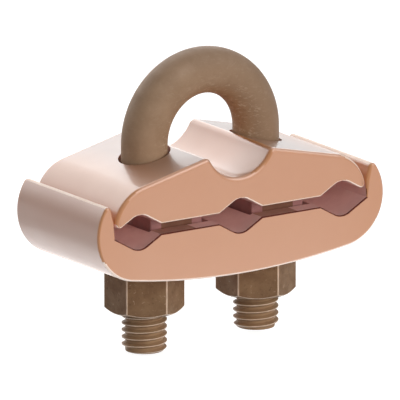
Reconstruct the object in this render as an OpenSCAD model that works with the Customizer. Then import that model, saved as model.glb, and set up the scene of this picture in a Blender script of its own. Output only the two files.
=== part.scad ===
// Grounding connector: a U-bolt grips a ground rod in the saddle of the upper casting,
// and two nuts close the lower casting on up to three cables that run beside the rod.
// Origin at the centre of the middle cable groove: X across the grooves, Y along them, Z up.

/* [U-bolt] */
// Diameter of the bolt rod and of its thread
bolt_d = 12.7; // [10:0.1:13.8]
// Distance between the axes of the two legs
leg_spacing = 36.5; // [35:0.1:38]
// Height of the bend's centre above the cable axes
bend_height = 18.3; // [17.5:0.1:26]
// Reach of the left leg below the cable axes
left_leg_reach = 39.1; // [36:0.1:60]
// Reach of the right leg below the cable axes
right_leg_reach = 37.6; // [36:0.1:60]
// Chamfer on the cut end of each leg
leg_chamfer = 1.2; // [0.4:0.1:2]

/* [Nuts] */
// Width of a nut across its flats
nut_across_flats = 19.05; // [17:0.05:21]
// Height of a nut
nut_height = 11.5; // [8:0.1:14]
// Angle of the chamfer on the corners of a nut
nut_chamfer_angle = 30; // [15:1:40]
// Width of the countersink at each mouth of a nut's hole
nut_countersink = 0.8; // [0.2:0.1:1.2]
// Running clearance between a nut and its leg
thread_clearance = 0.05; // [0.02:0.01:0.1]

/* [Cable grooves] */
// Radius of the cable seat at the bottom of each groove
cable_r = 4.8; // [4.2:0.1:5.4]
// Distance from the middle groove to each outer groove
groove_spacing = 33.1; // [32.5:0.1:34]
// Angle between a groove's flanks and the parting faces
flank_angle = 30; // [27:0.5:33]
// Gap between the parting faces of the two castings
jaw_gap = 3; // [2.4:0.1:3.6]

/* [Castings] */
// Length of both castings along the cables
casting_length = 39.7; // [30:0.1:60]
// Clearance all round each leg in its hole
leg_clearance = 0.8; // [0.3:0.05:1.2]
// Side clearance between the upper casting and the lips of the lower one
channel_clearance = 0.3; // [0.15:0.05:0.8]
// Gap all round a boss of the upper casting in its recess in the lower one
recess_clearance = 1.8; // [1.5:0.1:2]

/* [Lower casting] */
// Thickness of the lower casting at its middle
lower_thickness = 14.9; // [13:0.1:18]
// Radius of the rounded sides, about the outer cable axes
side_r = 13.7; // [12.8:0.1:15]
// Height of the lips above the lower parting face
lip_height = 9.8; // [8.5:0.1:11]
// Radius of the rounded top of each lip
lip_r = 1.25; // [0.9:0.05:1.3]
// Straight height of the lips' inner walls above the cable axes
lip_wall_height = 3.7; // [3:0.1:5]
// Length of the plain land between a recess and each end face
end_land = 5; // [4:0.1:6]
// Depth of each recess below the lower parting face
recess_depth = 6.5; // [6.2:0.1:7.5]
// Margin of the flat seat under each nut, beyond the nut's corners
seat_margin = 0.5; // [0.2:0.1:2]
// Rounding of the outer edges of the lower casting
lower_edge_r = 0.8; // [0.3:0.1:1]

/* [Upper casting] */
// Overall width of the upper casting
upper_width = 81.9; // [81:0.1:83]
// Height above the cable axes where the two roof slopes would meet
roof_height = 19.8; // [18.8:0.1:21]
// Slope of the roof on each side of the saddle
roof_slope = 13; // [11:0.5:14]
// Radius of the rounded shoulders
shoulder_r = 11.9; // [10:0.1:13]
// Radius of the outer tips
tip_r = 1.35; // [1.3:0.05:1.6]
// Height of the saddle's floor above the cable axes
saddle_floor = 10.6; // [9.5:0.1:11.5]
// Radius of the rod saddle
saddle_r = 10.8; // [10:0.05:11.2]
// Width of the boss round each leg, which stands midway between two grooves
boss_width = 16.8; // [15:0.1:17.5]
// Depth of each boss below the upper parting face
boss_depth = 5.5; // [4:0.1:5.8]
// Least wall round a leg's hole in its boss
collar_wall = 0.6; // [0.4:0.1:1]
// Rounding of the two crests beside the saddle
crest_r = 1.8; // [1:0.1:2.2]
// Rounding of the outer edges of the upper casting
upper_edge_r = 1.3; // [0.3:0.1:1.3]

/* [Hidden] */
$fn = 96;
bolt_colour = "#7d6650";
casting_colour = "#d19b7d";
// Segments on each arc of a casting's outline, and layers across a rounded edge
arc_steps = 12;
edge_steps = 4;
// How far a cutting shape passes the face that it opens, and a rounding the face that it ends on
overcut = 1;
overrun = 0.1;
leg_x = leg_spacing / 2;
leg_hole_d = bolt_d + 2 * leg_clearance;
nut_corner_r = nut_across_flats / 2 / cos(30);
half_gap = jaw_gap / 2;
// Half the width of a groove where its flanks meet the parting face
mouth_half = (cable_r / cos(flank_angle) - half_gap) / tan(flank_angle);
lower_bottom = -half_gap - lower_thickness;
lip_top = lip_height - half_gap;
channel_half = upper_width / 2 + channel_clearance;
rod_height = saddle_floor + saddle_r;
boss_length = casting_length - 2 * end_land - 2 * recess_clearance;
collar_r = leg_hole_d / 2 + collar_wall;
// Gap round the collar of a boss, where its leg stands off the boss's middle
collar_gap = 0.5;
// Radius of the bottom arc that runs tangent into both rounded sides
bottom_r = (pow(groove_spacing, 2) + pow(lower_bottom, 2) - pow(side_r, 2))
           / (-2 * lower_bottom - 2 * side_r);
bottom_centre = [0, lower_bottom + bottom_r];
side_centre = [groove_spacing, 0];
lip_centre = [
    groove_spacing + sqrt(pow(side_r - lip_r, 2) - pow(lip_top - lip_r, 2)),
    lip_top - lip_r
];
// The tip's circle touches the outer flank of its groove, and the shoulder's arc touches
// the tip's circle and the roof
tip_x = upper_width / 2 - tip_r;
tip_centre = [
    tip_x,
    half_gap + (groove_spacing + mouth_half - tip_x) * tan(flank_angle) + tip_r / cos(flank_angle)
];
roof_along = [cos(roof_slope), -sin(roof_slope)];
roof_normal = [sin(roof_slope), cos(roof_slope)];
shoulder_centre = circle_between(
    [0, roof_height] - shoulder_r * roof_normal, roof_along, tip_centre, shoulder_r - tip_r, -1);
// The crest's circle crosses the roof and the rod saddle at a slight angle
crest_centre = circle_between(
    [0, roof_height] - (crest_r - overrun) * roof_normal, roof_along,
    [0, rod_height], saddle_r + crest_r - overrun, 1);

// The point on a line at a given distance from a target; side picks the nearer or farther one
function circle_between(start, along, target, distance, side) =
    let (offset = start - target, run = offset * along)
    start + along * (-run + side * sqrt(pow(run, 2) - offset * offset + pow(distance, 2)));

function direction(from, to) = atan2(to[1] - from[1], to[0] - from[0]);

function arc(centre, radius, first, last) = [
    for (i = [0:arc_steps])
        let (angle = first + (last - first) * i / arc_steps)
        centre + radius * [cos(angle), sin(angle)]
];

function mirrored(points) = [
    for (i = [len(points) - 1:-1:0]) [-points[i][0], points[i][1]]
];

// Right half of the lower casting's outer outline, from the bottom arc to the top of the lip
function lower_side(inset) = concat(
    arc(bottom_centre, bottom_r - inset, -90, direction(bottom_centre, side_centre)),
    arc(side_centre, side_r - inset,
        direction(bottom_centre, side_centre), direction(side_centre, lip_centre)),
    arc(lip_centre, lip_r - inset, direction(side_centre, lip_centre), 90)
);

// Right half of the upper casting's outer outline, from the parting face to the ridge
function upper_side(inset) = concat(
    [[groove_spacing, half_gap]],
    arc(tip_centre, tip_r - inset, -90 - flank_angle, direction(shoulder_centre, tip_centre)),
    arc(shoulder_centre, shoulder_r - inset,
        direction(shoulder_centre, tip_centre), 90 - roof_slope),
    [[0, roof_height - inset / cos(roof_slope)]]
);

// Sweeps a profile drawn in X and Z along the cables
module along_cables(length) {
    rotate([90, 0, 0])
        linear_extrude(length, center = true)
            children();
}

module lower_envelope() {
    hull()
        for (i = [0:edge_steps])
            let (angle = 90 * i / edge_steps, right = lower_side(lower_edge_r * (1 - sin(angle))))
            along_cables(casting_length - 2 * lower_edge_r * (1 - cos(angle)))
                polygon(concat(right, mirrored(right)));
}

module upper_envelope() {
    hull()
        for (i = [0:edge_steps])
            let (angle = 90 * i / edge_steps, right = upper_side(upper_edge_r * (1 - sin(angle))))
            along_cables(casting_length - 2 * upper_edge_r * (1 - cos(angle)))
                polygon(concat(right, mirrored(right)));
}

// The three cable grooves of the upper casting: a rounded seat, and flanks out to the mouth
module cable_grooves() {
    seat = cable_r * [sin(flank_angle), cos(flank_angle)];
    length = casting_length + 2 * overcut;
    for (column = [-1:1])
        translate([column * groove_spacing, 0, 0]) {
            along_cables(length)
                polygon([
                    [-seat[0], seat[1]], seat, [mouth_half, half_gap],
                    [mouth_half, half_gap - overcut], [-mouth_half, half_gap - overcut],
                    [-mouth_half, half_gap]
                ]);
            rotate([90, 0, 0])
                cylinder(r = cable_r, h = length, center = true);
        }
}

module leg_holes() {
    height = 2 * (roof_height + lower_thickness);
    for (side = [-1, 1])
        translate([side * leg_x, 0, 0])
            cylinder(d = leg_hole_d, h = height, center = true);
}

// The bosses under the upper casting; with a gap all round, the recesses that take them
module leg_bosses(gap, round_gap, bottom, top) {
    for (side = [-1, 1]) {
        translate([side * groove_spacing / 2, 0, (bottom + top) / 2])
            cube([boss_width + 2 * gap, boss_length + 2 * gap, top - bottom], center = true);
        translate([side * leg_x, 0, bottom])
            cylinder(r = collar_r + round_gap, h = top - bottom);
    }
}

// The channel between the lips, which takes the upper casting; the outer grooves' flanks
// run on up to its walls
module channel() {
    above = lip_top + overcut;
    flank_end = groove_spacing + mouth_half;
    right = [
        [flank_end, -half_gap],
        [channel_half, (channel_half - flank_end) * tan(flank_angle) - half_gap],
        [channel_half, lip_wall_height],
        [lip_centre[0] - lip_r, lip_centre[1]],
        lip_centre,
        [lip_centre[0], above]
    ];
    along_cables(casting_length + 2 * overcut)
        difference() {
            polygon(concat(right, mirrored(right)));
            for (side = [-1, 1])
                translate([side * lip_centre[0], lip_centre[1]])
                    circle(r = lip_r);
        }
}

// The rod saddle, flared at both ends by the rounding of the outer edges; each flare runs
// a little past the end face, so that it meets the face at an edge
module saddle() {
    flare = upper_edge_r;
    straight = casting_length / 2 - flare + overrun;
    translate([0, 0, rod_height])
        rotate([90, 0, 0])
            rotate_extrude()
                difference() {
                    translate([0, -casting_length / 2 - overcut])
                        square([saddle_r + flare, casting_length + 2 * overcut]);
                    translate([saddle_r, -straight])
                        square([2 * flare, 2 * straight]);
                    for (end = [-1, 1])
                        translate([saddle_r + flare, end * straight])
                            circle(r = flare);
                }
}

// What rounds off the sharp crest between the roof and the saddle
module crest_rounding() {
    to_saddle = direction(crest_centre, [0, rod_height]);
    to_roof = 90 - roof_slope;
    middle = (to_saddle + to_roof) / 2;
    reach = 2 * crest_r / cos((to_saddle - to_roof) / 2);
    for (side = [0, 1])
        mirror([side, 0, 0])
            along_cables(casting_length + 2 * overcut)
                translate(crest_centre)
                    difference() {
                        polygon([
                            [0, 0],
                            crest_r * [cos(to_roof), sin(to_roof)],
                            reach * [cos(middle), sin(middle)],
                            crest_r * [cos(to_saddle), sin(to_saddle)]
                        ]);
                        circle(r = crest_r);
                    }
}

module upper_casting() {
    color(casting_colour)
        difference() {
            union() {
                difference() {
                    upper_envelope();
                    saddle();
                    crest_rounding();
                    cable_grooves();
                }
                leg_bosses(0, 0, half_gap - boss_depth, half_gap + overcut);
            }
            leg_holes();
        }
}

module lower_casting() {
    color(casting_colour)
        difference() {
            union() {
                lower_envelope();
                for (side = [-1, 1])
                    translate([side * leg_x, 0, lower_bottom])
                        cylinder(r = nut_corner_r + seat_margin, h = lower_thickness / 2);
            }
            channel();
            mirror([0, 0, 1])
                cable_grooves();
            leg_bosses(recess_clearance, collar_gap, -half_gap - recess_depth, 0);
            leg_holes();
        }
}

// One straight leg that hangs from the bend and ends in a chamfer
module leg(length) {
    r = bolt_d / 2;
    mirror([0, 0, 1])
        rotate_extrude()
            polygon([
                [0, 0], [r, 0], [r, length - leg_chamfer], [r - leg_chamfer, length], [0, length]
            ]);
}

module u_bolt() {
    color(bolt_colour)
        translate([0, 0, bend_height]) {
            rotate([90, 0, 0])
                rotate_extrude(angle = 180)
                    translate([leg_x, 0])
                        circle(d = bolt_d);
            translate([-leg_x, 0, 0])
                leg(bend_height + left_leg_reach);
            translate([leg_x, 0, 0])
                leg(bend_height + right_leg_reach);
        }
}

// A hexagon nut with two flats across X, its upper face against the lower casting's seat
module nut(x) {
    face_r = nut_across_flats / 2;
    chamfer = (nut_corner_r - face_r) * tan(nut_chamfer_angle);
    hole_r = bolt_d / 2 + thread_clearance;
    color(bolt_colour)
        translate([x, 0, lower_bottom - nut_height])
            difference() {
                intersection() {
                    rotate([0, 0, 30])
                        cylinder(r = nut_corner_r, h = nut_height, $fn = 6);
                    rotate_extrude()
                        polygon([
                            [0, 0], [face_r, 0], [nut_corner_r, chamfer],
                            [nut_corner_r, nut_height - chamfer], [face_r, nut_height],
                            [0, nut_height]
                        ]);
                }
                translate([0, 0, -overcut])
                    cylinder(r = hole_r, h = nut_height + 2 * overcut);
                for (end = [0, 1])
                    translate([0, 0, end * nut_height])
                        mirror([0, 0, end])
                            cylinder(r1 = hole_r + nut_countersink, r2 = hole_r, h = nut_countersink);
            }
}

module left_nut() {
    nut(-leg_x);
}

module right_nut() {
    nut(leg_x);
}

u_bolt();
upper_casting();
lower_casting();
left_nut();
right_nut();
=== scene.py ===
# Looks of the grounding connector: two copper castings, a bent bronze bolt and its two nuts
import math

import bmesh
import bpy
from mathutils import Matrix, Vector


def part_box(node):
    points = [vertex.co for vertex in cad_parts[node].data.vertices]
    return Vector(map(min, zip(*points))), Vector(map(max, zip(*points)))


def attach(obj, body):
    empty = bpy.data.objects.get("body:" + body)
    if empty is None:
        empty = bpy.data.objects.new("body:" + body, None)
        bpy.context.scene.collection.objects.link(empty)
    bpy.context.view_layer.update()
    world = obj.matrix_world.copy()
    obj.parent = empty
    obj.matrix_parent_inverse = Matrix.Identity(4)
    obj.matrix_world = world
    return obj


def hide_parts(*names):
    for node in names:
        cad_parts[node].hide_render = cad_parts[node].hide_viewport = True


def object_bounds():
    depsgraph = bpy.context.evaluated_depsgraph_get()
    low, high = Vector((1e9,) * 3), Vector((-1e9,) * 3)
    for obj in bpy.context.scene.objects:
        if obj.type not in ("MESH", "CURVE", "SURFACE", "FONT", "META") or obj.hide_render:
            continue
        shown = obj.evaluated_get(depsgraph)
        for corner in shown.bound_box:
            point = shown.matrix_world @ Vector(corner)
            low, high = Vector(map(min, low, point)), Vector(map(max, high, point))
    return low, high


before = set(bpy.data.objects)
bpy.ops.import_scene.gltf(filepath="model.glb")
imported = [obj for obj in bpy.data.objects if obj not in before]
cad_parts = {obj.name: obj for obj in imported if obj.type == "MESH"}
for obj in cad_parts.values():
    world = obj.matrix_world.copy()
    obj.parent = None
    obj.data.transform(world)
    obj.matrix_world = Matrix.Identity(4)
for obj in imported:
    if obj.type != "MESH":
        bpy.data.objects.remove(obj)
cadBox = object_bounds()
mm = 0.001
sameSpot = 1e-6            # points of an outline that are closer than this are one
spotDigits = 5             # decimals to which shared vertices agree
print("frame loaded:", ", ".join(sorted(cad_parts)))


# small geometry helpers, in millimetres and degrees on the X-Z face unless they say otherwise

def eased(share):
    share = min(max(share, 0.0), 1.0)
    return share * share * (3 - 2 * share)


def polar(centre, radius, degrees):
    angle = math.radians(degrees)
    return centre + radius * Vector((math.cos(angle), math.sin(angle)))


def bearing(start, end):
    step = end - start
    return math.degrees(math.atan2(step.y, step.x))


def arc(centre, radius, first, last, steps):
    return [polar(centre, radius, first + (last - first) * i / steps) for i in range(steps + 1)]


def circleBetween(start, along, target, distance, side):
    # the point on a line at a given distance from a target
    offset = start - target
    run = offset.dot(along)
    reach = math.sqrt(run * run - offset.dot(offset) + distance * distance)
    return start + along * (side * reach - run)


def addStretch(outline, points, edge, edgeAtEnd=None):
    # adds points to an outline, each with the rounding of its edge on the end faces
    edgeAtEnd = edge if edgeAtEnd is None else edgeAtEnd
    last = max(len(points) - 1, 1)
    for i, point in enumerate(points):
        if outline and (outline[-1][0] - point).length < sameSpot:
            continue
        outline.append((point, edge + (edgeAtEnd - edge) * eased(i / last)))


def bothHalves(half):
    # the right half starts and ends on the middle plane
    left = [(Vector((-point.x, point.y)), edge) for point, edge in reversed(half[1:-1])]
    return half + left


def placedFace(bm, known, places, finish=0):
    # adds a face, with vertices shared by place, unless it has no area or is there already
    corners = []
    for place in places:
        key = tuple(round(value, spotDigits) for value in place)
        if key not in known:
            known[key] = bm.verts.new(Vector(place) * mm)
        if known[key] not in corners:
            corners.append(known[key])
    if len(corners) > 2 and not bm.faces.get(corners):
        bm.faces.new(corners).material_index = finish


def newPiece(name, bm):
    bmesh.ops.recalc_face_normals(bm, faces=bm.faces)
    mesh = bpy.data.meshes.new(name)
    bm.to_mesh(mesh)
    bm.free()
    piece = bpy.data.objects.new(name, mesh)
    bpy.context.scene.collection.objects.link(piece)
    return piece


def cut(piece, cutter, operation):
    # runs one boolean and keeps its result as the piece's own mesh
    step = piece.modifiers.new(operation.lower(), "BOOLEAN")
    step.operation = operation
    step.solver = "EXACT"
    step.object = cutter
    shaped = piece.evaluated_get(bpy.context.evaluated_depsgraph_get())
    mesh = bpy.data.meshes.new_from_object(shaped)
    piece.modifiers.clear()
    piece.data = mesh
    bpy.data.objects.remove(cutter)


def finishShading(piece, sharpDegrees):
    piece.data.shade_smooth()
    piece.data.set_sharp_from_angle(angle=math.radians(sharpDegrees))
    normals = piece.modifiers.new("evenNormals", "WEIGHTED_NORMAL")
    normals.keep_sharp = True


def seatOnFrame(piece, node, body, slot, *materials):
    for material in materials:
        piece.data.materials.append(material)
    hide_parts(node)
    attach(piece, body)
    low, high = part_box(node)
    corners = [Vector(corner) for corner in piece.bound_box]
    off = max(abs(min(c[i] for c in corners) - low[i]) for i in range(3))
    off = max(off, max(abs(max(c[i] for c in corners) - high[i]) for i in range(3)))
    print(f"{piece.name}: {len(piece.data.polygons)} faces, {off / mm:.2f} mm off its solid's box")


# materials

def startMaterial(name):
    material = bpy.data.materials.new(name)
    material.use_nodes = True
    nodes = material.node_tree.nodes
    return material, nodes, material.node_tree.links, nodes["Principled BSDF"]


def noiseField(nodes, links, scale, detail, roughness=0.5, tangle=0.0, squash=1.0):
    # squash flattens the spots in height, tangle makes them ragged
    place = nodes.get("place") or nodes.new("ShaderNodeTexCoord")
    place.name = "place"
    noise = nodes.new("ShaderNodeTexNoise")
    noise.inputs["Distortion"].default_value = tangle
    noise.inputs["Scale"].default_value = scale
    noise.inputs["Detail"].default_value = detail
    noise.inputs["Roughness"].default_value = roughness
    flattened = nodes.new("ShaderNodeMapping")
    flattened.inputs["Scale"].default_value = (1, 1, squash)
    links.new(place.outputs["Object"], flattened.inputs["Vector"])
    links.new(flattened.outputs["Vector"], noise.inputs["Vector"])
    return noise.outputs["Fac"]


def spread(nodes, links, field, low, high, outLow, outHigh):
    # stretches a noise field to a range
    ramp = nodes.new("ShaderNodeMapRange")
    ramp.inputs["From Min"].default_value = low
    ramp.inputs["From Max"].default_value = high
    ramp.inputs["To Min"].default_value = outLow
    ramp.inputs["To Max"].default_value = outHigh
    links.new(field, ramp.inputs["Value"])
    return ramp.outputs["Result"]


def blendColours(nodes, links, factor, first, second):
    # inputs 6 and 7 and output 2 of a mix node are its colours
    mix = nodes.new("ShaderNodeMix")
    mix.data_type = "RGBA"
    links.new(factor, mix.inputs["Factor"])
    for socket, colour in ((mix.inputs[6], first), (mix.inputs[7], second)):
        if isinstance(colour, tuple):
            socket.default_value = (*colour, 1)
        else:
            links.new(colour, socket)
    return mix.outputs[2]


def addBump(nodes, links, shader, field, strength, depth):
    bump = nodes.new("ShaderNodeBump")
    bump.inputs["Strength"].default_value = strength
    bump.inputs["Distance"].default_value = depth
    links.new(field, bump.inputs["Height"])
    links.new(bump.outputs["Normal"], shader.inputs["Normal"])


skinNoise = {                            # noise that all finishes share
    "patchDetail": 5,
    "patchRoughness": 0.6,
    "patchRange": (0.36, 0.64),
    "glossRange": (0.3, 0.7),
    "grainDetail": 3,
}
copperFinish = {
    "base": (0.562, 0.205, 0.058),
    "patch": (0.5367, 0.1927, 0.0542),   # slight tarnish
    "patchScale": 55,
    "grainScale": 900,
    "gloss": (0.33, 0.41),
    "ior": 2.4,
    "coat": (0.10, 1.27),                # roughness and IOR of a polished film
    "coatAcross": (30, 46, 1.0, 0.0),    # the film fades between these distances from the middle
    "skinDepth": 0.00002,
    "skinStrength": 0.06,
}
roofLegShadeFinish = dict(                       # painted shadow and reflection of the bolt's legs: browner round them
    copperFinish, legShade=(0.36, 0.165, 0.095), legShadeAcross=(22, 34, 1.0, 0.0))
shadedSideFinish = dict(                       # painted shade: darker, greyer copper on the rounded sides
    copperFinish, base=(0.515, 0.225, 0.125), patch=(0.492, 0.212, 0.117))
hollowLightFinish = {                         # painted light: paler, mauve-pink copper in the grooves, the slit and the holes, lifting their shade
    "base": (0.90, 0.58, 0.52),
    "patch": (0.84, 0.52, 0.47),
    "patchScale": 220,
    "grainScale": 900,
    "gloss": (0.45, 0.60),
    "ior": 1.5,
    "skinDepth": 0.00005,
    "skinStrength": 0.2,
}
bossShadeFinish = dict(                       # painted shade: brown on the middle of the bosses' ends
    hollowLightFinish, base=(0.300, 0.145, 0.093), patch=(0.240, 0.114, 0.072), ior=1.2)
bossSideShadeFinish = dict(                   # painted shade: darker copper on the rest of their walls
    hollowLightFinish, base=(0.50, 0.245, 0.225), patch=(0.42, 0.195, 0.180), ior=1.3)
landShadeFinish = dict(                       # painted shade: brown on the front lands
    hollowLightFinish, base=(0.540, 0.285, 0.212), patch=(0.450, 0.235, 0.174), ior=1.3)
leftEdgeShadeFinish = {                           # painted shade: darker, redder copper on the left-hand edges
    "base": (0.60, 0.27, 0.12),
    "patch": (0.55, 0.24, 0.10),
    "patchScale": 120,
    "grainScale": 900,
    "gloss": (0.42, 0.52),
    "ior": 1.6,
    "skinDepth": 0.00002,
    "skinStrength": 0.06,
}
edgeHighlightFinish = {                         # painted highlight: a bright line on rounded edges and on the lips' crests
    "base": (1.0, 0.76, 0.61),
    "patch": (0.95, 0.70, 0.54),
    "patchScale": 300,
    "grainScale": 900,
    "gloss": (0.35, 0.45),
    "ior": 1.7,
    "skinDepth": 0.00002,
    "skinStrength": 0.06,
}
strongHighlightFinish = dict(edgeHighlightFinish, ior=2.6)   # a stronger painted highlight
mouthShadeFinish = {                          # painted shade: a dark line on the upward edges along the mouth of the lower casting
    "base": (0.18, 0.048, 0.036),
    "patch": (0.14, 0.036, 0.027),
    "patchScale": 300,
    "grainScale": 900,
    "gloss": (0.5, 0.6),
    "ior": 1.05,
    "skinDepth": 0.00003,
    "skinStrength": 0.1,
}
boltFinish = {
    "base": (0.382, 0.241, 0.146),
    "patch": (0.310, 0.189, 0.109),
    "rightLegShade": (0.230, 0.138, 0.078),
    "rightLegShadeAcross": (-14, 22, 0.0, 0.75),    # painted shade: darker towards the right leg
    "inner": (0.380, 0.225, 0.122),
    "innerReach": (12.0, 15.0, 1.0, 0.0),  # painted reflection of the copper: warmer on the inside of the bend
    "specks": (600, 6, 0.75, 0.6, 2.2),    # scale, detail, roughness, tangle and squash of the noise
    "fleck": (0.54, 0.40, 0.28),
    "fleckRange": (0.54, 0.64),
    "pit": (0.20, 0.118, 0.068),
    "pitRange": (0.42, 0.33),
    "bendWear": (12.5, 18.0, 1.0, 0.12),   # flecks and pits thin out from the inside of the bend
    "patchScale": 120,
    "grainScale": 800,
    "gloss": (0.52, 0.66),
    "ior": 1.5,
    "skinDepth": 0.00009,
    "skinStrength": 0.3,
}
# painted shade: the nuts are a darker bronze than the bolt, as they sit in the castings' shade
nutFinish = {
    "base": (0.250, 0.150, 0.080),
    "patch": (0.200, 0.114, 0.060),
    "specks": (900, 5, 0.65, 0.8, 1.0),
    "fleck": (0.42, 0.29, 0.19),
    "fleckRange": (0.61, 0.72),
    "pit": (0.150, 0.086, 0.046),
    "pitRange": (0.42, 0.33),
    "patchScale": 260,
    "grainScale": 1300,
    "gloss": (0.45, 0.60),
    "ior": 1.2,
    "skinDepth": 0.00009,
    "skinStrength": 0.3,
}
threadFinish = {
    "base": (0.360, 0.222, 0.120),
    "patch": (0.295, 0.172, 0.092),
    "patchScale": 260,
    "grainScale": 1300,
    "gloss": (0.45, 0.60),
    "ior": 1.25,
    "skinDepth": 0.00005,
    "skinStrength": 0.2,
}
highlightBronzeFinish = {                           # painted highlight: pale bronze on the nuts' corners and rims and on the thread crests
    "base": (0.62, 0.43, 0.29),
    "patch": (0.45, 0.30, 0.19),
    "patchScale": 500,
    "grainScale": 1300,
    "gloss": (0.30, 0.45),
    "ior": 1.75,
    "skinDepth": 0.00003,
    "skinStrength": 0.1,
}


def placeAxis(nodes, links, axis):
    split = nodes.get("axes") or nodes.new("ShaderNodeSeparateXYZ")
    split.name = "axes"
    links.new(nodes["place"].outputs["Object"], split.inputs[0])
    return split.outputs[axis]


def acrossField(nodes, links, near, far, atNear, atFar):
    # distance from the middle plane
    across = nodes.new("ShaderNodeMath")
    across.operation = "ABSOLUTE"
    links.new(placeAxis(nodes, links, "X"), across.inputs[0])
    return spread(nodes, links, across.outputs[0], near * mm, far * mm, atNear, atFar)


def bendField(nodes, links, near, far, atNear, atFar):
    # distance from the axis of the bend, or from the middle plane on the straight legs
    above = nodes.new("ShaderNodeMath")
    above.operation = "SUBTRACT"
    above.use_clamp = True
    above.inputs[1].default_value = bolt["bendHeight"] * mm
    links.new(placeAxis(nodes, links, "Z"), above.inputs[0])
    flat = nodes.new("ShaderNodeCombineXYZ")
    links.new(placeAxis(nodes, links, "X"), flat.inputs["X"])
    links.new(above.outputs[0], flat.inputs["Z"])
    reach = nodes.new("ShaderNodeVectorMath")
    reach.operation = "LENGTH"
    links.new(flat.outputs[0], reach.inputs[0])
    return spread(nodes, links, reach.outputs["Value"], near * mm, far * mm, atNear, atFar)


def addSpecks(nodes, links, finish, colour):
    # pale flecks and dark pits, from the high and the low spots of one noise
    specks = noiseField(nodes, links, *finish["specks"])
    for shade, limits in (("fleck", "fleckRange"), ("pit", "pitRange")):
        share = spread(nodes, links, specks, *finish[limits], 0, 1)
        if "bendWear" in finish:
            thinned = nodes.new("ShaderNodeMath")
            thinned.operation = "MULTIPLY"
            links.new(share, thinned.inputs[0])
            links.new(bendField(nodes, links, *finish["bendWear"]), thinned.inputs[1])
            share = thinned.outputs[0]
        colour = blendColours(nodes, links, share, colour, finish[shade])
    return colour


def makeFinish(name, finish):
    material, nodes, links, shader = startMaterial(name)
    clouds = noiseField(
        nodes, links, finish["patchScale"], skinNoise["patchDetail"], skinNoise["patchRoughness"])
    grain = noiseField(nodes, links, finish["grainScale"], skinNoise["grainDetail"])
    patchy = spread(nodes, links, clouds, *skinNoise["patchRange"], 0, 1)
    colour = blendColours(nodes, links, patchy, finish["base"], finish["patch"])
    # painted shade, darker towards the bolt's right leg
    if "rightLegShade" in finish:
        first, last, low, high = finish["rightLegShadeAcross"]
        across = placeAxis(nodes, links, "X")
        dimmed = spread(nodes, links, across, first * mm, last * mm, low, high)
        colour = blendColours(nodes, links, dimmed, colour, finish["rightLegShade"])
    # painted shadow and reflection of the legs: browner copper round them
    if "legShade" in finish:
        legShaded = acrossField(nodes, links, *finish["legShadeAcross"])
        colour = blendColours(nodes, links, legShaded, colour, finish["legShade"])
    # painted reflection of the copper on the inside of the bend
    if "inner" in finish:
        warmed = bendField(nodes, links, *finish["innerReach"])
        colour = blendColours(nodes, links, warmed, colour, finish["inner"])
    if "specks" in finish:
        colour = addSpecks(nodes, links, finish, colour)
    links.new(colour, shader.inputs["Base Color"])
    gloss = spread(nodes, links, clouds, *skinNoise["glossRange"], *finish["gloss"])
    links.new(gloss, shader.inputs["Roughness"])
    shader.inputs["IOR"].default_value = finish["ior"]
    if "coat" in finish:
        shader.inputs["Coat Roughness"].default_value = finish["coat"][0]
        shader.inputs["Coat IOR"].default_value = finish["coat"][1]
        links.new(acrossField(nodes, links, *finish["coatAcross"]), shader.inputs["Coat Weight"])
    addBump(nodes, links, shader, grain, finish["skinStrength"], finish["skinDepth"])
    return material


castingFinishes = {
    "castingCopper": copperFinish,
    "hollowLight": hollowLightFinish,
    "leftEdgeShade": leftEdgeShadeFinish,
    "edgeHighlight": edgeHighlightFinish,
    "mouthShade": mouthShadeFinish,
    "bossShade": bossShadeFinish,
    "bossSideShade": bossSideShadeFinish,
    "shadedSide": shadedSideFinish,
    "landShade": landShadeFinish,
    "roofLegShade": roofLegShadeFinish,
    "strongEdgeHighlight": strongHighlightFinish,
}
castingMaterials = [makeFinish(name, finish) for name, finish in castingFinishes.items()]
print("finishes ready for the castings:", len(castingMaterials))


# what the two castings share

joint = {
    "length": 39.7,        # along the cables
    "cableRadius": 4.8,
    "grooveSpacing": 33.1,
    "flankAngle": 30,
    "halfGap": 1.5,        # half the slit between the castings
    "slitEdge": 0.4,       # rounding of the edges along the slit
    "seatSteps": 8,        # over half a cable seat
    "edgeSteps": 5,        # layers over a rounded edge
    "legSpacing": 36.5,
    "legHole": 14.3,
    "holeSides": 96,
    "drillPast": 5,        # how far the leg holes' drill runs past both ends
    "bossWidth": 16.8,     # boss round each leg, midway between two grooves
    "bossLength": 26.1,
    "bossDepth": 5.5,
    "bossRoot": 1,         # sunk into the block above
    "bossCorner": 0.5,
    "cornerSteps": 4,
    "bossShadeWidth": 10.0,     # width of the painted shade on the middle of its ends
    "collarRadius": 7.75,
    "recessGap": 1.8,      # all round a boss in the lower casting
    "recessDepth": 6.5,
    "sharpAngle": 24,
}
flankSlope = math.tan(math.radians(joint["flankAngle"]))
flankTop = joint["cableRadius"] / math.cos(math.radians(joint["flankAngle"]))
mouthHalf = (flankTop - joint["halfGap"]) / flankSlope
outerGroove = Vector((joint["grooveSpacing"], 0))
landMiddle = joint["grooveSpacing"] / 2
legX = joint["legSpacing"] / 2

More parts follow.
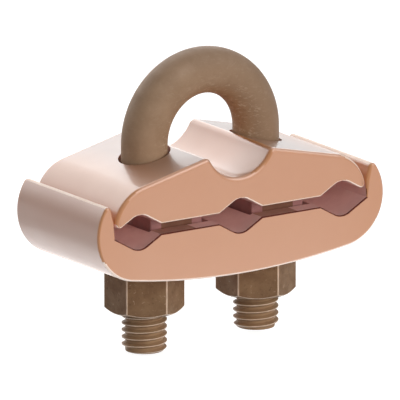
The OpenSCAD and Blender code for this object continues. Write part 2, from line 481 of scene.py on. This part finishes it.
# which faces of the rounded edges get which painted highlight or shade, by the shares of their normals
edgeLightShade = {
    "zone": 1.5,           # reach of the rounded edges from the end faces, in millimetres
    "starts": 0.12,        # share along the cables where a rounded edge starts
    "ends": 0.99,          # and where the flat end face takes over
    "facing": 0.05,        # least share up or down on an edge that faces the cables
    "sideways": 0.3,       # share to the left or right on an edge that is turned there
    "flankLean": 0.3,      # least share to the left, against the share down, on a groove's flank
    "shadeFrom": 0.3,       # shares along the cables between which each painted highlight and shade shows
    "strongHighlightFrom": 0.5,
    "highlightFrom": 0.6,
    "highlightTo": 0.8,
    "strongHighlightTo": 0.9,
    "mouthShadeTo": 0.95,
}
faceSlack = 0.1            # millimetres between a face and the surface that it is taken to lie on
wallRise = 0.2             # largest share up or down of the normal on an upright wall


def edgeNormals(points):
    # outward mitre vectors of a counterclockwise outline
    normals = []
    for i, point in enumerate(points):
        before = (point - points[i - 1]).normalized()
        after = (points[(i + 1) % len(points)] - point).normalized()
        first = Vector((before.y, -before.x))
        second = Vector((after.y, -after.x))
        normals.append((first + second) / (1 + first.dot(second)))
    return normals


def castBlock(name, outline):
    # sweeps an outline along the cables and rounds its edges on both end faces
    points = [point for point, edge in outline]
    normals = edgeNormals(points)
    turns = [math.radians(90 * i / joint["edgeSteps"]) for i in range(joint["edgeSteps"] + 1)]
    layers = [(-1, turn) for turn in turns] + [(1, turn) for turn in reversed(turns)]
    bm = bmesh.new()
    rows = []
    for end, turn in layers:
        row = []
        for (point, edge), normal in zip(outline, normals):
            place = point - normal * edge * (1 - math.sin(turn))
            depth = end * (joint["length"] / 2 - edge * (1 - math.cos(turn)))
            row.append(bm.verts.new(Vector((place.x, depth, place.y)) * mm))
        rows.append(row)
    for near, far in zip(rows, rows[1:]):
        for i in range(len(near)):
            bm.faces.new((near[i - 1], near[i], far[i], far[i - 1]))
    bm.faces.new(rows[0])
    bm.faces.new(list(reversed(rows[-1])))
    return newPiece(name, bm)


def prism(name, outline, low, high):
    # an upright block over an outline in X and Y
    bm = bmesh.new()
    rings = []
    for z in (low, high):
        rings.append([bm.verts.new(Vector((spot.x, spot.y, z)) * mm) for spot in outline])
    for i in range(len(outline)):
        bm.faces.new((rings[0][i - 1], rings[0][i], rings[1][i], rings[1][i - 1]))
    bm.faces.new(list(reversed(rings[0])))
    bm.faces.new(rings[1])
    return newPiece(name, bm)


def circleRound(x, radius):
    sides = joint["holeSides"]
    return [polar(Vector((x, 0)), radius, 360 * i / sides) for i in range(sides)]


def bossOutline(side, gap):
    # a rectangle with rounded corners, midway between two grooves
    corner = joint["bossCorner"]
    reachX = joint["bossWidth"] / 2 + gap - corner
    reachY = joint["bossLength"] / 2 + gap - corner
    middle = Vector((side * landMiddle, 0))
    outline = []
    for k, (x, y) in enumerate(((1, 1), (-1, 1), (-1, -1), (1, -1))):
        centre = middle + Vector((x * reachX, y * reachY))
        outline += arc(centre, corner, 90 * k, 90 * k + 90, joint["cornerSteps"])
        if x == y:                         # the ends are split at the sides of their painted shade
            for shift in (x, -x):
                offset = Vector((shift * joint["bossShadeWidth"] / 2, y * (reachY + corner)))
                outline.append(middle + offset)
    return outline


def drillLegHoles(piece, low, high):
    past = joint["drillPast"]
    for side in (-1, 1):
        hole = circleRound(side * legX, joint["legHole"] / 2)
        cut(piece, prism("legDrill", hole, low - past, high + past), "DIFFERENCE")


def inHole(spot):
    return math.hypot(abs(spot.x) - legX, spot.y) < joint["legHole"] / 2 + faceSlack / 2


def upright(normal):
    return abs(normal.z) < wallRise


def dressCasting(piece, node, chooseFinish, finishEdge):
    # gives each face its finish by its place and the way it faces, painted light and shade included, and
    # seats the casting
    order = list(castingFinishes)
    for polygon in piece.data.polygons:
        spot = polygon.center / mm
        normal = polygon.normal
        turn = abs(normal.y)
        if abs(spot.y) < joint["length"] / 2 - edgeLightShade["zone"] or turn < edgeLightShade["starts"]:
            finish = chooseFinish(spot, normal)
        elif turn < edgeLightShade["ends"]:
            finish = finishEdge(spot, normal, turn)
        else:
            finish = "castingCopper"
        polygon.material_index = order.index(finish)
    finishShading(piece, joint["sharpAngle"])
    seatOnFrame(piece, node, node, "casting_copper", *castingMaterials)


# upper casting: rod saddle on top, three cable grooves below

upper = {
    "width": 81.9,
    "roofHeight": 19.8,
    "roofSlope": 13,
    "shoulderRadius": 11.9,
    "shoulderSteps": 30,
    "tipRadius": 1.35,
    "tipSteps": 14,
    "saddleFloor": 10.6,
    "saddleRadius": 10.8,
    "saddleSteps": 22,
    "crestRadius": 1.8,
    "crestSteps": 14,
    "edge": 1.3,
    "roofRise": 0.3,         # least share upwards of the normals on the roof and the shoulders
}


def upperOutline():
    seat = joint["cableRadius"]
    slit = joint["slitEdge"]
    tilt = joint["flankAngle"]
    steps = joint["seatSteps"]
    tipX = upper["width"] / 2 - upper["tipRadius"]
    tipRise = (joint["grooveSpacing"] + mouthHalf - tipX) * flankSlope
    tipRise += upper["tipRadius"] / math.cos(math.radians(tilt))
    tip = Vector((tipX, joint["halfGap"] + tipRise))
    slope = math.radians(upper["roofSlope"])
    along = Vector((math.cos(slope), -math.sin(slope)))
    outward = Vector((math.sin(slope), math.cos(slope)))
    ridge = Vector((0, upper["roofHeight"]))
    rod = Vector((0, upper["saddleFloor"] + upper["saddleRadius"]))
    shoulder = circleBetween(
        ridge - upper["shoulderRadius"] * outward, along, tip,
        upper["shoulderRadius"] - upper["tipRadius"], -1)
    crest = circleBetween(
        ridge - upper["crestRadius"] * outward, along, rod,
        upper["saddleRadius"] + upper["crestRadius"], 1)
    roofBearing = 90 - upper["roofSlope"]
    toTip = bearing(shoulder, tip)
    toRod = bearing(crest, rod)
    edge = upper["edge"]
    half = []
    addStretch(half, arc(Vector((0, 0)), seat, 90, 90 - tilt, steps), slit)
    for x in (mouthHalf, joint["grooveSpacing"] - mouthHalf):
        addStretch(half, [Vector((x, joint["halfGap"]))], slit)
    addStretch(half, arc(outerGroove, seat, 90 + tilt, 90 - tilt, 2 * steps), slit)
    addStretch(half, arc(tip, upper["tipRadius"], -90 - tilt, toTip, upper["tipSteps"]), slit, edge)
    addStretch(half, arc(
        shoulder, upper["shoulderRadius"], toTip, roofBearing, upper["shoulderSteps"]), edge)
    addStretch(half, arc(crest, upper["crestRadius"], roofBearing, toRod, upper["crestSteps"]), edge)
    addStretch(half, arc(
        rod, upper["saddleRadius"], bearing(rod, crest), -90, upper["saddleSteps"]), edge)
    return bothHalves(half)


def buildUpperCasting():
    piece = castBlock("upperCasting", upperOutline())
    face = joint["halfGap"]
    bossEnd = face - joint["bossDepth"]
    for side in (-1, 1):
        for outline in (bossOutline(side, 0), circleRound(side * legX, joint["collarRadius"])):
            cut(piece, prism("legBoss", outline, bossEnd, face + joint["bossRoot"]), "UNION")
    drillLegHoles(piece, bossEnd, upper["roofHeight"])
    crestEnd = upper["saddleRadius"] + upper["crestRadius"]

    def facesCables(spot, normal):
        seatTop = joint["cableRadius"] + joint["slitEdge"] / 2
        return normal.z < -edgeLightShade["facing"] and spot.z < seatTop

    def finishEdge(spot, normal, turn):
        # edges towards the cables get painted highlights near the end faces and the hollows' painted
        # light further in
        if facesCables(spot, normal):
            if normal.x < edgeLightShade["flankLean"] * normal.z:
                return "strongEdgeHighlight" if turn > edgeLightShade["strongHighlightFrom"] else "hollowLight"
            return "edgeHighlight" if turn > edgeLightShade["highlightFrom"] else "hollowLight"
        # edges turned to the left get painted shade
        if normal.x < -edgeLightShade["sideways"] and turn > edgeLightShade["shadeFrom"]:
            return "leftEdgeShade"
        # edges turned to the right get a painted highlight
        if normal.x > edgeLightShade["sideways"] and spot.x > 0 and turn < edgeLightShade["highlightTo"]:
            return "edgeHighlight"
        return "castingCopper"

    def chooseFinish(spot, normal):
        # the leg holes and the faces towards the cables get the hollows' painted light
        if inHole(spot) and upright(normal):
            return "hollowLight"
        # the bosses' walls get painted shade, brown on the middle of their ends
        if spot.z < face and upright(normal):
            offMiddle = abs(abs(spot.x) - landMiddle)
            return "bossShade" if offMiddle < joint["bossShadeWidth"] / 2 else "bossSideShade"
        if facesCables(spot, normal):
            return "hollowLight"
        # the roof round the legs gets the painted shadow and reflection
        onRoof = abs(spot.x) > crestEnd and normal.z > upper["roofRise"]
        return "roofLegShade" if onRoof else "castingCopper"

    dressCasting(piece, "upper_casting", chooseFinish, finishEdge)


# lower casting: grooves and lips on top, bowed underside with two flat nut seats

lower = {
    "thickness": 14.9,
    "bowSteps": 12,
    "sideRadius": 13.7,
    "sideSteps": 36,
    "lipHeight": 9.8,
    "lipRadius": 1.25,
    "lipSteps": 16,
    "lipWallHeight": 3.7,
    "wallSteps": 6,          # over each of the two stretches of a lip's inner wall
    "channelHalf": 41.25,
    "edge": 0.8,
    "lipEdge": 1.1,          # rounding of the lips' inner edges
    "seatRadius": 11.5,
    "landShadeReach": 2.15,       # painted shade covers the front lands up to here, from the middle of each
    "wallLightBand": (-1.0, 3.0),   # heights between which the lips' inner walls have the hollows' painted light
    "crestRise": 0.75,       # least share upwards of the normals on the lips' crests, which get the painted highlight
    "landRise": 0.9,         # and on the lands
}


def lowerOutline():
    seat = joint["cableRadius"]
    slit = joint["slitEdge"]
    tilt = joint["flankAngle"]
    steps = joint["seatSteps"]
    side = lower["sideRadius"]
    edge = lower["edge"]
    bottom = -joint["halfGap"] - lower["thickness"]
    lipZ = lower["lipHeight"] - joint["halfGap"] - lower["lipRadius"]
    lipX = math.sqrt((side - lower["lipRadius"]) ** 2 - lipZ ** 2)
    lip = outerGroove + Vector((lipX, lipZ))
    bowRadius = (joint["grooveSpacing"] ** 2 + bottom ** 2 - side ** 2) / (-2 * bottom - 2 * side)
    bow = Vector((0, bottom + bowRadius))
    turnIn = bearing(bow, outerGroove)
    toLip = bearing(outerGroove, lip)
    wall = lower["channelHalf"]
    wallFoot = (wall - joint["grooveSpacing"] - mouthHalf) * flankSlope - joint["halfGap"]
    wallEnds = (
        lip + Vector((-lower["lipRadius"], 0)), Vector((wall, lower["lipWallHeight"])),
        Vector((wall, wallFoot)))

    def wallStretch(start, end):
        return [start.lerp(end, i / lower["wallSteps"]) for i in range(lower["wallSteps"] + 1)]

    half = []
    addStretch(half, arc(bow, bowRadius, -90, turnIn, lower["bowSteps"]), edge)
    addStretch(half, arc(outerGroove, side, turnIn, toLip, lower["sideSteps"]), edge)
    addStretch(half, arc(lip, lower["lipRadius"], toLip, 180, lower["lipSteps"]), edge, lower["lipEdge"])
    addStretch(half, wallStretch(*wallEnds[:2]), lower["lipEdge"])
    addStretch(half, wallStretch(*wallEnds[1:]), lower["lipEdge"], slit)
    addStretch(half, arc(outerGroove, seat, tilt - 90, -tilt - 90, 2 * steps), slit)
    shadeReach = lower["landShadeReach"]
    landEnd = joint["grooveSpacing"] - mouthHalf
    for x in (landEnd, landMiddle + shadeReach, landMiddle - shadeReach, mouthHalf):
        addStretch(half, [Vector((x, -joint["halfGap"]))], slit)
    addStretch(half, arc(Vector((0, 0)), seat, tilt - 90, -90, steps), slit)
    return bothHalves(half)


def buildLowerCasting():
    piece = castBlock("lowerCasting", lowerOutline())
    face = -joint["halfGap"]
    bottom = face - lower["thickness"]
    recessFloor = face - joint["recessDepth"]
    for side in (-1, 1):
        seat = circleRound(side * legX, lower["seatRadius"])
        cut(piece, prism("nutSeat", seat, bottom, bottom / 2), "UNION")
        recess = bossOutline(side, joint["recessGap"])
        cut(piece, prism("bossRecess", recess, recessFloor, 0), "DIFFERENCE")
    drillLegHoles(piece, bottom, 0)

    def inChannel(spot):
        return abs(spot.x) < lower["channelHalf"] + faceSlack and spot.z < joint["halfGap"]

    def finishEdge(spot, normal, turn):
        # the upward edges along the mouth get a painted dark line
        if inChannel(spot) and normal.z > edgeLightShade["facing"]:
            return "mouthShade" if turn < edgeLightShade["mouthShadeTo"] else "castingCopper"
        # the lower edges of the underside get a strong painted highlight
        if normal.z < 0 and spot.z < -lower["sideRadius"] / 2:
            return "strongEdgeHighlight" if turn < edgeLightShade["strongHighlightTo"] else "castingCopper"
        # edges turned to the left get painted shade
        shadedLeft = normal.x < -edgeLightShade["sideways"] and turn > edgeLightShade["shadeFrom"]
        return "leftEdgeShade" if shadedLeft else "castingCopper"

    def chooseFinish(spot, normal):
        onLand = normal.z > lower["landRise"] and abs(spot.z - face) < faceSlack
        pastMiddle = spot.x - math.copysign(landMiddle, spot.x)
        # painted shade on the front lands, next to the middle of each
        if onLand and spot.y < 0 and pastMiddle < lower["landShadeReach"]:
            return "landShade"
        # the grooves, the holes, the recesses and the lips' inner walls get the hollows' painted light
        if inChannel(spot) and normal.z > 0 and not upright(normal):
            return "hollowLight"
        inRecess = inChannel(spot) and recessFloor - faceSlack < spot.z < face
        lightLow, lightHigh = lower["wallLightBand"]
        onLipWall = abs(spot.x) > outerGroove.x and lightLow < spot.z < lightHigh and spot.x * normal.x < 0
        if upright(normal) and (inHole(spot) or inRecess or onLipWall):
            return "hollowLight"
        if abs(spot.x) < lower["channelHalf"]:
            return "castingCopper"
        # the lips' crests get the painted highlight
        if normal.z > lower["crestRise"]:
            return "edgeHighlight"
        # the rounded outer sides get painted shade
        return "shadedSide" if spot.x * normal.x > 0 else "castingCopper"

    dressCasting(piece, "lower_casting", chooseFinish, finishEdge)


# bolt: one rod bent to a bow, with a right-hand thread cut on both legs

bolt = {
    "diameter": 12.7,
    "bendHeight": 18.3,
    "reach": {-1: 39.1, 1: 37.6},            # left and right leg below the cable axes
    "crestHeight": {-1: -36.35, 1: -33.95},  # a thread crest on the side towards threadBearing
    "threadBearing": -34.2,
    "pitch": 25.4 / 13,
    "crestDiameter": 12.35,
    "threadDepth": 0.95,
    "flankAngle": 30,
    "crestFlat": 0.26,
    "rootSag": 0.04,                         # rounding of the root between two crests
    "threadTop": -6.0,
    "runOut": 2.4,
    "endDiameter": 10.3,                     # of the flat on the cut end, inside the chamfer
    "sides": 64,
    "bowSteps": 72,
    "sharpAngle": 32,
}
boltBronze = makeFinish("boltBronze", boltFinish)
threadBronze = makeFinish("threadBronze", threadFinish)
highlightBronze = makeFinish("highlightBronze", highlightBronzeFinish)
plainSpot, highlightSpot, threadSpot = range(3)   # places in the bolt's and the nuts' lists of materials


def legPlace(side, radius, z, turn):
    spot = polar(Vector((side * legX, 0)), radius, 360 * turn)
    return (spot.x, spot.y, z)


def threadProfile():
    # height and radius over one pitch, from the lower edge of a crest
    crest = bolt["crestDiameter"] / 2
    root = crest - bolt["threadDepth"]
    flank = bolt["threadDepth"] * math.tan(math.radians(bolt["flankAngle"]))
    rootWidth = bolt["pitch"] - bolt["crestFlat"] - 2 * flank
    rootStart = bolt["crestFlat"] + flank
    return [
        (0, crest),
        (bolt["crestFlat"], crest),
        (rootStart, root),
        (rootStart + rootWidth / 2, root - bolt["rootSag"]),
        (rootStart + rootWidth, root),
    ]


def threadedLeg(bm, known, side):
    end = -bolt["reach"][side]
    shank = bolt["diameter"] / 2
    tip = bolt["endDiameter"] / 2
    profile = threadProfile()
    count = len(profile)
    sides = bolt["sides"]
    start = bolt["crestHeight"][side] - bolt["crestFlat"] / 2
    start -= bolt["pitch"] * bolt["threadBearing"] / 360

    def rawHeight(step, j):
        return start + bolt["pitch"] * (step / sides + j // count) + profile[j % count][0]

    def place(step, j):
        height = rawHeight(step, j)
        z = min(max(height, end), bolt["threadTop"])
        cutIn = eased((bolt["threadTop"] - height) / bolt["runOut"])
        radius = shank + (profile[j % count][1] - shank) * cutIn
        radius = min(radius, tip + z - end)      # chamfer of 45 degrees on the cut end
        return legPlace(side, radius, z, (step % sides) / sides)

    first = math.floor((end - 2 * bolt["pitch"] - start) / bolt["pitch"] * sides)
    last = math.ceil((bolt["threadTop"] + bolt["pitch"] - start) / bolt["pitch"] * sides)
    for step in range(first, last):
        for j in range(count):
            heights = [rawHeight(step, j), rawHeight(step + 1, j + 1)]
            if max(heights) <= end or min(heights) >= bolt["threadTop"]:
                continue
            # the thread crests get the painted highlight
            crestFace = j == 0 and heights[0] < bolt["threadTop"] - bolt["runOut"]
            corners = (place(step, j), place(step + 1, j), place(step + 1, j + 1), place(step, j + 1))
            placedFace(bm, known, corners, highlightSpot if crestFace else threadSpot)
    placedFace(bm, known, [legPlace(side, tip, end, -i / sides) for i in range(sides)])
    for i in range(sides):
        turns = (i / sides, (i + 1) / sides)
        lowEdge = [legPlace(side, shank, bolt["threadTop"], turn) for turn in turns]
        highEdge = [legPlace(side, shank, bolt["bendHeight"], turn) for turn in reversed(turns)]
        placedFace(bm, known, lowEdge + highEdge)


def bowPlace(swing, turn):
    # swing runs from the right leg to the left one, turn goes round the rod
    rod = polar(Vector((legX, 0)), bolt["diameter"] / 2, 360 * turn)
    angle = math.radians(180 * swing)
    return (rod.x * math.cos(angle), rod.y, bolt["bendHeight"] + rod.x * math.sin(angle))


def buildBolt():
    bm = bmesh.new()
    known = {}
    for side in (-1, 1):
        threadedLeg(bm, known, side)
    sides = bolt["sides"]
    steps = bolt["bowSteps"]
    for i in range(steps):
        for j in range(sides):
            swings = (i / steps, (i + 1) / steps)
            turns = (j / sides, (j + 1) / sides)
            placedFace(bm, known, (
                bowPlace(swings[0], turns[0]), bowPlace(swings[0], turns[1]),
                bowPlace(swings[1], turns[1]), bowPlace(swings[1], turns[0])))
    piece = newPiece("bentBolt", bm)
    finishShading(piece, bolt["sharpAngle"])
    seatOnFrame(piece, "u_bolt", "u_bolt", "bolt_bronze", boltBronze, highlightBronze, threadBronze)


# nuts: hexagons with a chamfer at both ends and painted highlights on their corners and rims

nut = {
    "acrossFlats": 19.05,
    "height": 11.5,
    "top": -16.4,            # against the lower casting's seats
    "cornerRadius": 0.5,
    "chamferStart": 9.35,    # radius where the end face turns into the chamfer
    "chamferAngle": 30,
    "rimBevel": 0.12,        # between the chamfer and the flats
    "holeDiameter": 12.8,
    "countersink": 0.8,
    "flatSteps": 12,
    "cornerSteps": 6,
    "flatBand": 4,           # rings of faces, counted outwards and up from the lower end of the hole
    "rimBands": (3, 5),
    "sharpAngle": 28,
}
nutBronze = makeFinish("nutBronze", nutFinish)
print("finishes ready for the bolt and the nuts")


def nutOutline():
    # points round the hexagon, each with a mark for a corner stretch
    reach = (nut["acrossFlats"] / 2 - nut["cornerRadius"]) / math.cos(math.radians(30))
    corners = []
    for k in range(6):
        centre = polar(Vector((0, 0)), reach, 30 + 60 * k)
        corners.append(arc(centre, nut["cornerRadius"], 60 * k, 60 * k + 60, nut["cornerSteps"]))
    outline = []
    for k, corner in enumerate(corners):
        following = corners[(k + 1) % 6]
        outline += [(point, True) for point in corner[:-1]]
        for i in range(nut["flatSteps"]):
            outline.append((corner[-1].lerp(following[0], i / nut["flatSteps"]), False))
    return outline


def buildNut(name, node, x):
    height = nut["height"]
    hole = nut["holeDiameter"] / 2
    rim = nut["rimBevel"]
    slope = math.tan(math.radians(nut["chamferAngle"]))
    centre = Vector((x, 0))
    outline = nutOutline()

    def column(point):
        reach = point.length
        direction = point / reach
        rise = (reach - nut["chamferStart"]) * slope
        stations = [
            (hole, nut["countersink"]), (hole + nut["countersink"], 0), (nut["chamferStart"], 0),
            (reach - rim, rise - rim * slope), (reach, rise + rim)]
        stations += [(radius, height - z) for radius, z in reversed(stations)]
        places = []
        for radius, z in stations:
            spot = centre + direction * radius
            places.append((spot.x, spot.y, nut["top"] - height + z))
        return places

    bm = bmesh.new()
    known = {}
    columns = [column(point) for point, corner in outline]
    for i, (point, corner) in enumerate(outline):
        here = columns[i]
        beyond = columns[(i + 1) % len(columns)]
        for k in range(len(here)):
            following = (k + 1) % len(here)
            # the corners and rims get the painted highlight
            highlighted = (corner and k == nut["flatBand"]) or k in nut["rimBands"]
            corners = (here[k], beyond[k], beyond[following], here[following])
            placedFace(bm, known, corners, highlightSpot if highlighted else plainSpot)
    piece = newPiece(name, bm)
    finishShading(piece, nut["sharpAngle"])
    seatOnFrame(piece, node, node, "bolt_bronze", nutBronze, highlightBronze)


buildUpperCasting()
buildLowerCasting()
buildBolt()
buildNut("leftNut", "left_nut", -legX)
buildNut("rightNut", "right_nut", legX)
print("pieces built")


# floor, light and camera

studio = {
    "floorSize": 8.0,
    "floorGap": 0.3 * mm,    # under the lowest point of the part
    "floorColour": (0.33, 0.33, 0.33),
    "floorWhite": 0.89,      # plain white added where the floor is seen or mirrored
    "floorShine": 0.1,
    "paperScale": 300,
    "paperDetail": 3,
    "paperGloss": (0.6, 0.7),
    "ambient": 0.1,
    "backdrop": 0.70,        # strength of the white world where it is seen or mirrored
    "key": {
        "azimuth": 6, "elevation": 16, "distance": 1.2, "width": 1.7, "height": 0.65,
        "radiance": 3.5, "lights": True, "mirrored": False},
    "back": {
        "azimuth": 173, "elevation": 37, "distance": 0.9, "width": 1.6, "height": 1.0,
        "radiance": 1.74, "lights": True, "mirrored": True},
    "rim": {                  # shows only as a line of light on the edges that face up and forward
        "azimuth": 25, "elevation": 50, "distance": 1.0, "width": 1.6, "height": 0.5,
        "radiance": 2.3, "lights": False, "mirrored": True},
    "table": {                # glow of the table under the part, seen only in its downward edges
        "azimuth": 0, "elevation": -90, "distance": 0.0393, "width": 0.15, "height": 0.15,
        "radiance": 0.9, "lights": False, "mirrored": True},
}


def seenRays(nodes, links):
    # 1 on rays from the camera and on mirrored or refracted ones, 0 on the rest
    path = nodes.new("ShaderNodeLightPath")
    total = path.outputs["Is Camera Ray"]
    for name in ("Is Glossy Ray", "Is Transmission Ray"):
        larger = nodes.new("ShaderNodeMath")
        larger.operation = "MAXIMUM"
        links.new(total, larger.inputs[0])
        links.new(path.outputs[name], larger.inputs[1])
        total = larger.outputs[0]
    return total


def buildFloor():
    bm = bmesh.new()
    half = studio["floorSize"] / 2
    depth = cadBox[0].z - studio["floorGap"]
    corners = ((-half, -half), (half, -half), (half, half), (-half, half))
    bm.faces.new([bm.verts.new((x, y, depth)) for x, y in corners])
    floor = newPiece("studioFloor", bm)
    material, nodes, links, shader = startMaterial("palePaper")
    grain = noiseField(nodes, links, studio["paperScale"], studio["paperDetail"])
    gloss = spread(nodes, links, grain, *skinNoise["glossRange"], *studio["paperGloss"])
    links.new(gloss, shader.inputs["Roughness"])
    shader.inputs["Base Color"].default_value = (*studio["floorColour"], 1)
    shader.inputs["Specular IOR Level"].default_value = studio["floorShine"]
    white = nodes.new("ShaderNodeEmission")
    strength = nodes.new("ShaderNodeMath")
    strength.operation = "MULTIPLY"
    strength.inputs[1].default_value = studio["floorWhite"]
    links.new(seenRays(nodes, links), strength.inputs[0])
    links.new(strength.outputs[0], white.inputs["Strength"])
    both = nodes.new("ShaderNodeAddShader")
    links.new(shader.outputs[0], both.inputs[0])
    links.new(white.outputs[0], both.inputs[1])
    links.new(both.outputs[0], nodes["Material Output"].inputs["Surface"])
    floor.data.materials.append(material)


def buildWorld():
    world = bpy.data.worlds.new("studioWorld")
    bpy.context.scene.world = world
    world.use_nodes = True
    nodes = world.node_tree.nodes
    links = world.node_tree.links
    ambient = nodes["Background"]
    ambient.inputs["Color"].default_value = (1, 1, 1, 1)
    ambient.inputs["Strength"].default_value = studio["ambient"]
    white = nodes.new("ShaderNodeBackground")
    white.inputs["Color"].default_value = (1, 1, 1, 1)
    white.inputs["Strength"].default_value = studio["backdrop"]
    mix = nodes.new("ShaderNodeMixShader")
    links.new(seenRays(nodes, links), mix.inputs[0])
    links.new(ambient.outputs[0], mix.inputs[1])
    links.new(white.outputs[0], mix.inputs[2])
    links.new(mix.outputs[0], nodes["World Output"].inputs["Surface"])


def viewDirection(azimuth, elevation):
    # from the object to a viewer; azimuth 0 is in front, 90 on the right
    a = math.radians(azimuth)
    e = math.radians(elevation)
    return Vector((math.sin(a) * math.cos(e), -math.cos(a) * math.cos(e), math.sin(e)))


def softbox(name, lamp):
    light = bpy.data.lights.new(name, "AREA")
    light.shape = "RECTANGLE"
    light.size = lamp["width"]
    light.size_y = lamp["height"]
    light.energy = lamp["radiance"] * math.pi * lamp["width"] * lamp["height"]
    holder = bpy.data.objects.new(name, light)
    direction = viewDirection(lamp["azimuth"], lamp["elevation"])
    holder.location = direction * lamp["distance"]
    holder.rotation_mode = "QUATERNION"
    holder.rotation_quaternion = direction.to_track_quat("Z", "Y")
    holder.visible_camera = False
    holder.visible_diffuse = lamp["lights"]
    holder.visible_glossy = lamp["mirrored"]
    bpy.context.scene.collection.objects.link(holder)


buildFloor()
buildWorld()
softbox("keySoftbox", studio["key"])
softbox("backSoftbox", studio["back"])
softbox("rimSoftbox", studio["rim"])
softbox("tableGlow", studio["table"])
print("studio lit")

lookout = {
    "azimuth": -34.2,
    "elevation": 14.45,
    "distance": 0.6,
    "frameWidth": 108.4 * mm,
    "aim": Vector((0, 0, 0.1 * mm)),
    "clip": (0.01, 20),
}


def placeCamera():
    lens = bpy.data.cameras.new("photoCamera")
    lens.type = "ORTHO"
    lens.ortho_scale = lookout["frameWidth"]
    lens.clip_start, lens.clip_end = lookout["clip"]
    camera = bpy.data.objects.new("photoCamera", lens)
    direction = viewDirection(lookout["azimuth"], lookout["elevation"])
    camera.location = lookout["aim"] + direction * lookout["distance"]
    camera.rotation_mode = "QUATERNION"
    camera.rotation_quaternion = direction.to_track_quat("Z", "Y")
    bpy.context.scene.collection.objects.link(camera)
    bpy.context.scene.camera = camera


placeCamera()
bpy.context.scene.view_settings.view_transform = "Standard"
print("camera set")
